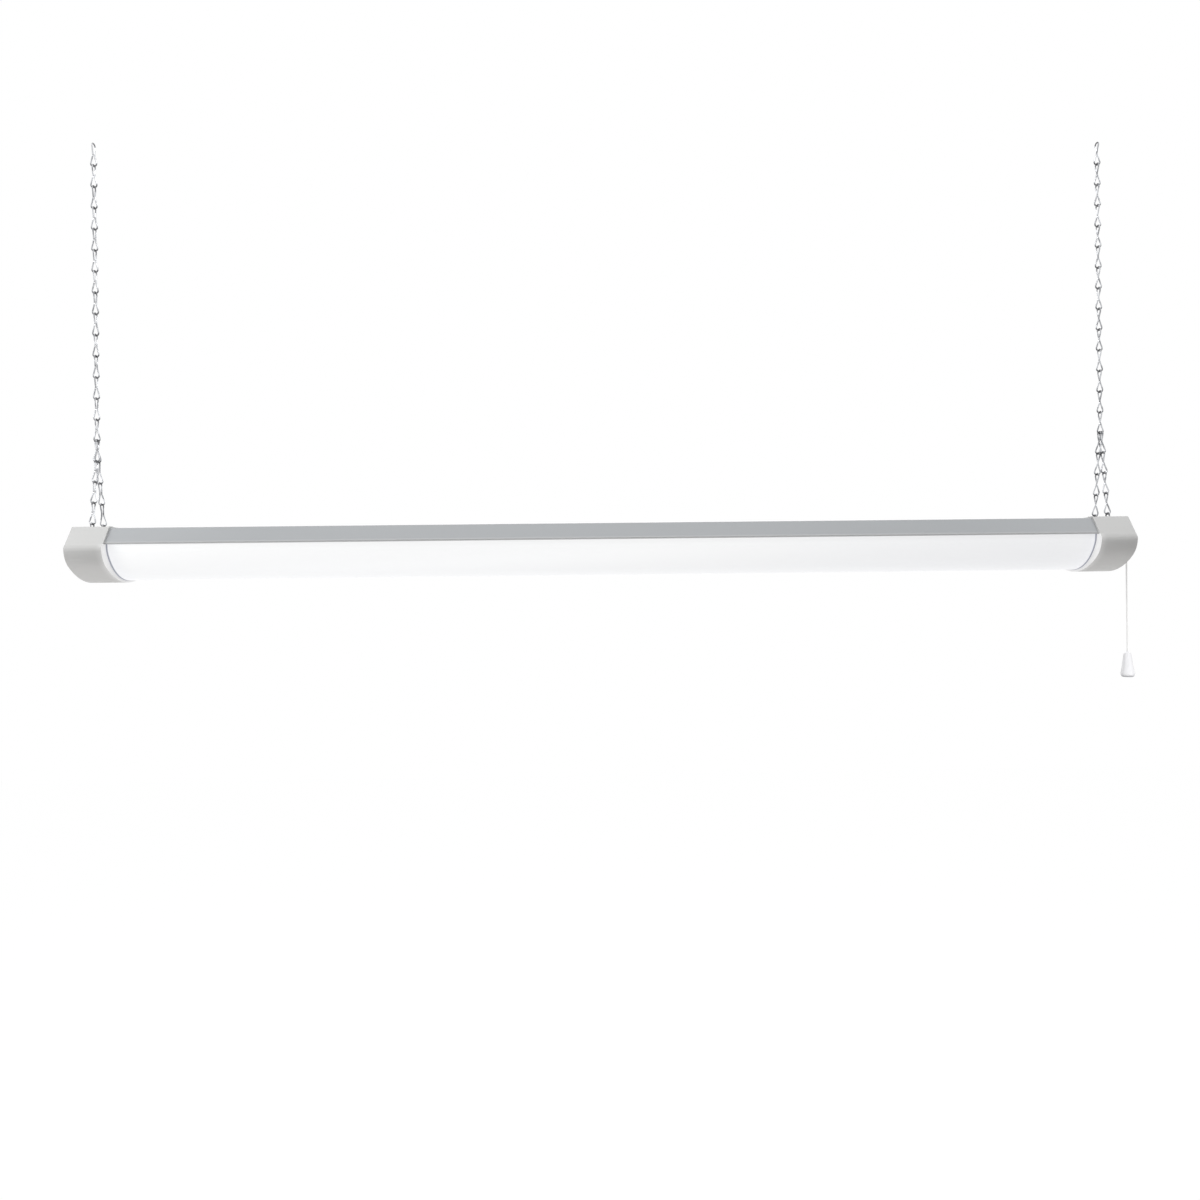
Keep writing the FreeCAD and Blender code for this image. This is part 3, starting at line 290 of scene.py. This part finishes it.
def moulded_cap(name, low, high):
    """Light grey moulded plastic with a fine spark-eroded grain and faint flow marks.
    The lens lights the flat lip round the cap's mouth."""
    finish = Finish(name)
    along, across, up = finish.axes()
    mouth = 1 - up.rise(HOUSING_FOOT - 0.5 * MM, HOUSING_FOOT + 0.5 * MM)
    lip = 1 - abs(along).rise(CAP_MOUTH_X + 0.1 * MM, CAP_MOUTH_X + 0.5 * MM)
    rim = 1 - abs(along).rise(CAP_MOUTH_X, CAP_MOUTH_X + 8 * MM)
    from_crease = abs(up - CREASE_Z).rise(0, 3.4 * MM)
    crease = (1 - from_crease) * abs(across).rise(53.4 * MM, 55 * MM)
    flow = finish.grain(26, 4, 0.55, finish.stretched(0.45, 1, 1.6))
    grain = finish.specks(2100)
    fine = finish.grain(5200, 2, 0.6)
    tone = finish.blend(flow, low, high)
    tone = finish.blend(fine.rise(0.35, 0.7) * 0.1, tone, high)
    # Painted warm shade: the plastic is made warmer and a little darker low down.
    below = 1 - (up - CAP_TOP).rise(-52 * MM, -12 * MM)
    tone = finish.blend(below * 0.5, tone, (0.575, 0.56, 0.545))
    spill = finish.blend((lip * 0.75 + rim * 0.25) * mouth, (0.0, 0.0, 0.0), (0.34, 0.34, 0.345))
    softened = finish.bump(1 - crease, 0.5 * MM)
    return finish.surface(Base_Color=tone, Roughness=0.46 + flow * 0.12,
                          Emission_Color=spill, Emission_Strength=1.0,
                          Normal=finish.bump(grain + fine * 0.5, 0.05 * MM, 0.45, softened))


def zinc_wire():
    """Zinc-plated drawn wire: fine drawing lines, long dull and bright stretches, and
    painted shade where the eyes bear on each other."""
    finish = Finish("chain_zinc")
    _, _, up = finish.axes()
    stretch = finish.grain(110, 2, 0.5, finish.stretched(1.5, 1.5, 1))
    drawn = finish.grain(2600, 2, 0.5, finish.stretched(1, 1, 0.2))
    dull = stretch.rise(0.4, 0.62)
    # Painted shade: the wire is darkened once a link pitch, where the eyes meet.
    painted_knot_shade = (up * (2 * math.pi / LINK_PITCH)).math("COSINE").rise(0.82, 0.98)
    tone = finish.blend(dull, (0.62, 0.63, 0.65), (0.3, 0.305, 0.32))
    tone = finish.blend(painted_knot_shade * 0.8, tone, (0.1, 0.1, 0.105))
    return finish.surface(Base_Color=tone, Metallic=0.9, Roughness=0.24 + dull * 0.14,
                          Normal=finish.bump(drawn, 0.03 * MM, 0.5))


def plated_steel(name, level, roughness, stretch=(1, 1, 1)):
    """Zinc or nickel plate with directional lines and a little tarnish."""
    finish = Finish(name)
    lines = finish.grain(900, 2, 0.5, finish.stretched(*stretch))
    tarnish = finish.grain(70, 4)
    tone = finish.blend(tarnish, grey(level * 0.78, 0.02), grey(level, -0.01))
    return finish.surface(Base_Color=tone, Metallic=1.0, Roughness=roughness + tarnish * 0.14,
                          Normal=finish.bump(lines, 0.03 * MM, 0.45))


def etched_board():
    """Green circuit board with copper tracks under the mask."""
    finish = Finish("circuit_green")
    tracks = finish.node("TexBrick", {"offset": 0.5},
                         {"Vector": finish.place, "Scale": 130, "Mortar Size": 0.08,
                          "Mortar Smooth": 0.2, "Brick Width": 0.9, "Row Height": 0.3})
    track = tracks.output("Fac")
    cloud = finish.grain(90, 3)
    tone = finish.blend(cloud, (0.012, 0.09, 0.03), (0.02, 0.13, 0.045))
    tone = finish.blend(track, tone, (0.05, 0.24, 0.08))
    return finish.surface(Base_Color=tone, Roughness=0.3 + cloud * 0.1,
                          Normal=finish.bump(track, 0.04 * MM, 0.6))


def dull_moulding(name, low, high, scale=1500, roughness=0.5):
    """A small moulded piece with a fine even grain and slight shade changes."""
    finish = Finish(name)
    cloud = finish.grain(110, 3)
    grain = finish.grain(scale, 2, 0.6)
    return finish.surface(Base_Color=finish.blend(cloud, low, high),
                          Roughness=roughness + cloud * 0.1,
                          Normal=finish.bump(grain, 0.04 * MM, 0.5))


def insulation(name, low, high):
    """Wire insulation, smooth with faint lengthwise drag from the extruder."""
    finish = Finish(name)
    drag = finish.grain(1200, 2, 0.5, finish.stretched(0.06, 1, 1))
    cloud = finish.grain(80, 2)
    return finish.surface(Base_Color=finish.blend(cloud, low, high),
                          Roughness=0.3 + drag * 0.12,
                          Normal=finish.bump(drag, 0.02 * MM, 0.5))


def braided_cord():
    """White polyester braid: two sets of three strands that cross round the cord."""
    strands = 3
    rise_per_turn = 1.6 * MM
    finish = Finish("cord_white")
    along, across, up = finish.axes()
    turn = (across - CORD_Y).math("ARCTAN2", along - CORD_X)
    climb = up * (2 * math.pi / rise_per_turn)
    right_hand = (climb + strands * turn).math("SINE")
    left_hand = (climb - strands * turn).math("SINE")
    strand = right_hand.math("MAXIMUM", left_hand)
    crossing = strand.rise(-0.2, 0.9)
    fuzz = finish.grain(5000, 2)
    tone = finish.blend(crossing, (0.86, 0.86, 0.85), (0.94, 0.94, 0.93))
    return finish.surface(Base_Color=tone, Roughness=0.78 + fuzz * 0.1, Sheen_Weight=0.15,
                          Normal=finish.bump(strand + fuzz * 0.3, 0.12 * MM, 0.6))


def bell_plastic():
    """Glossy white moulded bell with a faint cloudiness, and painted shade underneath."""
    finish = Finish("bell_white")
    cloud = finish.grain(90, 2)
    fine = finish.grain(2600, 2)
    _, _, up = finish.axes()
    # Painted shade over the bell's underside and the lower edge of its rim.
    under = 1 - (up - BELL_FOOT).rise(0.6 * MM, 3.2 * MM)
    tone = finish.blend(cloud, (0.85, 0.85, 0.865), (0.88, 0.88, 0.895))
    tone = finish.blend(under * 0.9, tone, (0.3, 0.3, 0.32))
    return finish.surface(Base_Color=tone, Roughness=0.24 + cloud * 0.1, Coat_Weight=0.2,
                          Normal=finish.bump(fine, 0.02 * MM, 0.35))


def contact_brass():
    """Bright brass leaf with rolling lines and slight tarnish."""
    finish = Finish("contact_brass")
    rolled = finish.grain(1500, 2, 0.5, finish.stretched(0.1, 1, 1))
    tarnish = finish.grain(200, 3)
    tone = finish.blend(tarnish, (0.55, 0.36, 0.12), (0.78, 0.57, 0.24))
    return finish.surface(Base_Color=tone, Metallic=1.0, Roughness=0.22 + tarnish * 0.15,
                          Normal=finish.bump(rolled, 0.02 * MM, 0.5))


FINISHES = {
    "housing_paint": painted_housing(),
    "tray_white": white_enamel(),
    "board_white": board_mask(),
    "chip_yellow": chip_phosphor(),
    "lens_frost": frosted_lens(),
    "cap_grey": moulded_cap("cap_grey", (0.575, 0.576, 0.57), (0.62, 0.621, 0.615)),
    "guide_grey": dull_moulding("guide_grey", (0.52, 0.522, 0.515), (0.57, 0.572, 0.565),
                                2100, 0.46),
    "chain_zinc": zinc_wire(),
    "pin_steel": plated_steel("pin_steel", 0.55, 0.25, (1, 0.1, 1)),
    "screw_steel": plated_steel("screw_steel", 0.62, 0.28),
    "case_steel": plated_steel("case_steel", 0.64, 0.34, (0.08, 1, 1)),
    "spring_steel": plated_steel("spring_steel", 0.58, 0.2),
    "circuit_green": etched_board(),
    "component_dark": dull_moulding("component_dark", (0.012, 0.012, 0.014), (0.03, 0.03, 0.032)),
    "block_white": dull_moulding("block_white", (0.72, 0.72, 0.7), (0.8, 0.8, 0.77)),
    "switch_black": dull_moulding("switch_black", (0.01, 0.01, 0.01), (0.025, 0.025, 0.026)),
    "bushing_black": dull_moulding("bushing_black", (0.008, 0.008, 0.009), (0.02, 0.02, 0.021),
                                   2000, 0.55),
    "slider_white": dull_moulding("slider_white", (0.7, 0.7, 0.69), (0.78, 0.78, 0.77),
                                  1800, 0.4),
    "lever_white": dull_moulding("lever_white", (0.66, 0.66, 0.64), (0.75, 0.75, 0.73),
                                 1800, 0.4),
    "wire_black": insulation("wire_black", (0.008, 0.008, 0.009), (0.02, 0.02, 0.022)),
    "wire_white": insulation("wire_white", (0.74, 0.74, 0.73), (0.82, 0.82, 0.81)),
    "cord_white": braided_cord(),
    "bell_white": bell_plastic(),
    "contact_brass": contact_brass(),
}


# ---------------------------------------------------------------- camera

PHOTO_WIDTH = 1200
FOCAL_PIXELS = 905.654
SENSOR_WIDTH = 36
CAMERA_PLACE = (-0.0315248, -1.0663575, -0.5371831)
CAMERA_YAW = -0.0221
CAMERA_ROLL = 0.0121


def set_camera():
    """The photograph's viewpoint, a little below the lens and left of its middle."""
    turned = Matrix.Rotation(CAMERA_YAW, 3, "Z") @ Matrix.Rotation(CAMERA_ROLL, 3, "Y")
    looking = Matrix((turned.col[0], turned.col[2], -turned.col[1])).transposed()
    camera = bpy.data.cameras.new("camera")
    camera.sensor_width = SENSOR_WIDTH
    camera.lens = FOCAL_PIXELS / PHOTO_WIDTH * SENSOR_WIDTH
    camera.clip_start = 0.01
    camera.clip_end = 60
    holder = bpy.data.objects.new("camera", camera)
    holder.matrix_world = Matrix.Translation(CAMERA_PLACE) @ looking.to_4x4()
    bpy.context.scene.collection.objects.link(holder)
    bpy.context.scene.camera = holder


# ---------------------------------------------------------------- helpers for pieces

def shown(name, mesh_or_curve, slot):
    """Links a new piece of the light and gives it its finish."""
    piece = bpy.data.objects.new(name, mesh_or_curve)
    bpy.context.scene.collection.objects.link(piece)
    mesh_or_curve.materials.append(FINISHES[slot])
    return piece


def mesh_of(name, corners, faces):
    mesh = bpy.data.meshes.new(name)
    mesh.from_pydata(corners, [], faces)
    mesh.shade_smooth()
    return mesh


def skin(rings, sides):
    """The faces between rings of corners that follow each other, as corner numbers."""
    faces = []
    for ring in range(rings - 1):
        for step in range(sides):
            beside = (step + 1) % sides
            faces.append((ring * sides + step, ring * sides + beside,
                          (ring + 1) * sides + beside, (ring + 1) * sides + step))
    return faces


# ---------------------------------------------------------------- pull cord and bell

def hang_cord():
    """The pull cord: straight down from the guide's mouth to the bell's neck."""
    run = (0, 9 * MM, 62 * MM, 107 * MM, CORD_LENGTH)
    curve = bpy.data.curves.new("pull_cord_braid", "CURVE")
    curve.dimensions = "3D"
    line = curve.splines.new("NURBS")
    line.points.add(len(run) - 1)
    for point, down in zip(line.points, run):
        point.co = (CORD_X, CORD_Y, CAP_TOP - (CORD_EXIT_DEPTH + down), 1)
    line.order_u = 3
    line.use_endpoint_u = True
    curve.bevel_depth = CORD_RADIUS
    curve.bevel_resolution = 4
    curve.use_fill_caps = True
    return shown("pull_cord_braid", curve, "cord_white")


# From the middle of the hollow underneath, round the rim and up to the middle of the
# collar: shares of the bell's radius and height
BELL_OUTLINE = (
    (0.0, 0.03), (0.3, 0.027), (0.48, 0.012), (0.6, 0.002), (0.72, 0.0), (0.86, 0.026),
    (0.965, 0.07), (1.0, 0.115), (0.99, 0.15), (0.945, 0.2), (0.88, 0.29), (0.815, 0.4),
    (0.735, 0.54), (0.655, 0.7), (0.59, 0.84), (0.555, 0.91), (0.5, 0.955), (0.385, 0.982),
    (0.25, 0.998), (0.18, 1.012), (0.155, 1.034), (0.13, 1.04), (0.1, 1.032))


def turn_bell():
    """The bell at the cord's end, turned from its outline: a small collar that the cord
    goes into, a rounded shoulder, a long straight skirt, a rolled rim and a shallow
    hollow underneath."""
    sides = 40
    corners = []
    for share, up in BELL_OUTLINE[1:]:
        for step in range(sides):
            turn = 2 * math.pi * step / sides
            corners.append((CORD_X + BELL_RADIUS * share * math.cos(turn),
                            CORD_Y + BELL_RADIUS * share * math.sin(turn),
                            BELL_FOOT + BELL_HEIGHT * up))
    rings = len(BELL_OUTLINE) - 1
    faces = skin(rings, sides)
    foot = len(corners)
    top = foot + 1
    corners += [(CORD_X, CORD_Y, BELL_FOOT + BELL_HEIGHT * BELL_OUTLINE[end][1])
                for end in (0, -1)]
    last = (rings - 1) * sides
    faces += [(foot, (step + 1) % sides, step) for step in range(sides)]
    faces += [(top, last + step, last + (step + 1) % sides) for step in range(sides)]
    bell = shown("pull_bell_turned", mesh_of("pull_bell_turned", corners, faces), "bell_white")
    rounding = bell.modifiers.new("rounding", "SUBSURF")
    rounding.levels = 1
    rounding.render_levels = 1
    return bell


# ---------------------------------------------------------------- chain

def link_line():
    """Centre line of one figure-8 link about its waist: round the upper eye in the YZ
    plane, through the waist and round the lower eye in the XZ plane."""
    steps = 12
    reach = 118  # degrees of the eye each way from its crown
    centre = LINK_HEIGHT / 2 - LOOP_RADIUS
    offset = WAIST_OFFSET * math.sqrt(0.5)
    upper = []
    for step in range(steps + 1):
        turn = math.radians(90 + reach - 2 * reach * step / steps)
        upper.append(Vector((0, LOOP_RADIUS * math.cos(turn),
                             centre + LOOP_RADIUS * math.sin(turn))))
    lower = [Vector((point.y, 0, -point.z)) for point in reversed(upper)]
    start = Vector((-offset, -offset, BUTT_GAP / 2))
    waist = Vector((offset, offset, 0))
    return [start] + upper + [waist] + lower + [Vector((start.x, start.y, -start.z))]


def corners_cut(points):
    """The same open line with its corners cut, its two ends kept."""
    cut = [points[0]]
    for before, after in zip(points[:-1], points[1:]):
        cut.append(before.lerp(after, 0.25))
        cut.append(before.lerp(after, 0.75))
    cut.append(points[-1])
    return cut


def round_wire(points, radius, sides=10):
    """Corners and faces of a round wire along a line, closed at both ends."""
    corners = []
    across = None
    for index, point in enumerate(points):
        ahead = points[min(index + 1, len(points) - 1)] - points[max(index - 1, 0)]
        ahead.normalize()
        if across is None:
            across = ahead.orthogonal().normalized()
        across = (across - ahead * across.dot(ahead)).normalized()
        other = ahead.cross(across)
        for step in range(sides):
            turn = 2 * math.pi * step / sides
            corners.append(point + (across * math.cos(turn) + other * math.sin(turn)) * radius)
    last = (len(points) - 1) * sides
    ends = [tuple(reversed(range(sides))), tuple(range(last, last + sides))]
    return corners, skin(len(points), sides) + ends


LINK_CORNERS, LINK_FACES = round_wire(corners_cut(link_line()), WIRE_RADIUS)


def string_links(name, node, body, top, count, direction, half_turn=False):
    """A run of links in one piece, each hung in the one before, in a CAD node's place."""
    tilt = Vector((0, 0, -1)).rotation_difference(direction).to_matrix()
    spin = Matrix.Rotation(math.pi, 3, "Z") if half_turn else Matrix.Identity(3)
    corners = []
    faces = []
    for index in range(count):
        waist = top + direction * (LINK_PITCH * index + LINK_HEIGHT / 2)
        first = len(corners)
        corners += [waist + tilt @ (spin @ corner) for corner in LINK_CORNERS]
        faces += [tuple(first + corner for corner in face) for face in LINK_FACES]
    links = shown(name, mesh_of(name, corners, faces), "chain_zinc")
    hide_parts(node)
    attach(links, body)


def hang_chains():
    """Both chains from the hooks down, and the two legs of each bridle."""
    down = Vector((0, 0, -1))
    for side, end in (("left", -1), ("right", 1)):
        x = end * HANG_X
        top = Vector((x, 0, WIRE_RADIUS))
        string_links(side + "_top_wire", side + "_top_link", "hooks_root", top, 1, down)
        string_links(side + "_second_wire", side + "_second_link", side + "_second",
                     top + down * LINK_PITCH, 1, down)
        string_links(side + "_chain_wire", side + "_chain_links", side + "_chain",
                     top + down * LINK_PITCH * 2, CHAIN_LINKS, down)
        for place, hand in (("front", -1), ("rear", 1)):
            spot = Vector((x - hand * BRIDLE_APART, 0, BRIDLE_TOP))
            leg = Vector((hand * BRIDLE_APART, hand * BRIDLE_SPREAD, -BRIDLE_DROP)).normalized()
            string_links("%s_bridle_%s_wire" % (side, place), "%s_bridle_%s_leg" % (side, place),
                         side + "_chain", spot, LEG_LINKS, leg, hand > 0)


# ---------------------------------------------------------------- return spring

def coil_spring():
    """The slider's return spring, with its foot on the guide's floor."""
    foot = -485.8068 * MM
    length = 13.551 * MM
    wire = 0.35 * MM
    radius = 2.3 * MM
    turns = 5
    steps = 20 * turns
    line = []
    for step in range(steps + 1):
        turn = 2 * math.pi * turns * step / steps
        line.append(Vector((CORD_X + radius * math.cos(turn), CORD_Y + radius * math.sin(turn),
                            foot + wire + (length - 2 * wire) * step / steps)))
    corners, faces = round_wire(line, wire, 8)
    coil = shown("pull_spring_coil", mesh_of("pull_spring_coil", corners, faces), "spring_steel")
    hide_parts("pull_spring")
    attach(coil, "fixture")
    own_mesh(coil)


# ---------------------------------------------------------------- CAD nodes

# Widths in millimetres
SOFT_EDGES = {"left_end_cap": 0.35, "right_end_cap": 0.35, "pull_guide": 0.3, "lens": 0.15,
              "cord_inlet_bushing": 0.3, "driver_case": 0.4, "terminal_block": 0.4,
              "switch_case": 0.3, "switch_cover": 0.25, "left_cap_screws": 0.2,
              "right_cap_screws": 0.2, "tray_screws": 0.2, "driver_screws": 0.2}


def dress_nodes():
    """Gives every CAD node its finish, and moulded pieces and screw heads softened edges."""
    for part in frame["record"]["subparts"]:
        node = frame["nodes"][part["node"]]
        node.data.materials.clear()
        node.data.materials.append(FINISHES[part["material_slot"]])
    for name, width in SOFT_EDGES.items():
        node = frame["nodes"][name]
        joined = node.modifiers.new("joined", "WELD")
        joined.merge_threshold = 0.001 * MM
        eased_edge = node.modifiers.new("eased_edge", "BEVEL")
        eased_edge.width = width * MM
        eased_edge.segments = 2
        eased_edge.limit_method = "ANGLE"
        eased_edge.angle_limit = math.radians(40)
        eased_edge.harden_normals = False


# ---------------------------------------------------------------- studio

def hang_lamp(lamp, place, aim):
    holder = bpy.data.objects.new(lamp.name, lamp)
    holder.location = place
    holder.rotation_euler = (Vector(aim) - Vector(place)).to_track_quat("-Z", "Y").to_euler()
    bpy.context.scene.collection.objects.link(holder)


def area_lamp(name, place, aim, size, power):
    lamp = bpy.data.lights.new(name, "AREA")
    lamp.shape = "RECTANGLE"
    lamp.size, lamp.size_y = size
    lamp.energy = power
    hang_lamp(lamp, place, aim)


def bell_spot(place, aim, cone, power):
    """A soft spot that holds the bell's whole swing in its cone and leaves the cap out."""
    lamp = bpy.data.lights.new("bell_spot", "SPOT")
    lamp.energy = power
    lamp.spot_size = math.radians(cone)
    lamp.spot_blend = 0.4
    lamp.shadow_soft_size = 40 * MM
    hang_lamp(lamp, place, aim)


def white_surroundings():
    """A dim even world that the camera, metal and clear pieces see as white."""
    world = bpy.data.worlds.new("studio_air")
    bpy.context.scene.world = world
    world.use_nodes = True
    air = Nodes(world.node_tree, "World")
    dim = air.node("Background", {}, {"Color": (1, 1, 1, 1), "Strength": 0.38})
    white = air.node("Background", {}, {"Color": (1, 1, 1, 1), "Strength": 1.0})
    air.end_in(air.node("MixShader", {}, {0: air.seen(), 1: dim, 2: white}))


def pale_floor():
    """A wide pale floor well under the light. It takes the light's shadow, and the camera
    and shiny pieces see it as nearly white."""
    reach = 6
    height = -1.9
    finish = Finish("studio_floor")
    matt = finish.node("BsdfDiffuse", {}, {"Color": (0.9, 0.9, 0.9, 1)})
    white = finish.node("Emission", {}, {"Color": (1, 1, 1, 1), "Strength": 1.07})
    finish.end_in(finish.node("MixShader", {}, {0: 0.9 * finish.seen(), 1: matt, 2: white}))
    corners = [(-reach, -reach, height), (reach, -reach, height),
               (reach, reach, height), (-reach, reach, height)]
    mesh = bpy.data.meshes.new("studio_floor")
    mesh.from_pydata(corners, [], [(0, 1, 2, 3)])
    mesh.materials.append(finish.material)
    floor = bpy.data.objects.new("studio_floor", mesh)
    bpy.context.scene.collection.objects.link(floor)


def light_studio():
    white_surroundings()
    pale_floor()
    area_lamp("over_lamp", place=(-0.1, -0.6, 1.2), aim=(0, 0, -0.48), size=(2.6, 0.7), power=27)
    area_lamp("low_lamp", place=(-0.35, -0.15, -1.8), aim=(-0.2, 0, -0.5), size=(1.9, 0.7),
              power=7)
    area_lamp("left_lamp", place=(-0.88, -0.34, -0.4), aim=(-0.56, 0, -0.47), size=(0.25, 0.35),
              power=0.62)
    area_lamp("right_lamp", place=(0.85, -0.25, 0.2), aim=(0.57, 0, -0.46), size=(0.4, 0.3),
              power=0.35)
    bell_spot(place=(0.88, -0.82, -0.74), aim=(0.62, CORD_Y, -0.64), cone=18, power=13)
    area_lamp("rear_lamp", place=(0.3, 1.9, 0.3), aim=(0, 0, -0.48), size=(2.2, 1.0), power=8)


# ---------------------------------------------------------------- the scene

set_camera()
cord = hang_cord()
bell = turn_bell()
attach(cord, "pull")
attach(bell, "pull")
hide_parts("pull_cord")
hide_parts("pull_bell")
hang_chains()
coil_spring()
dress_nodes()
light_studio()
bpy.context.scene.view_settings.view_transform = "Standard"
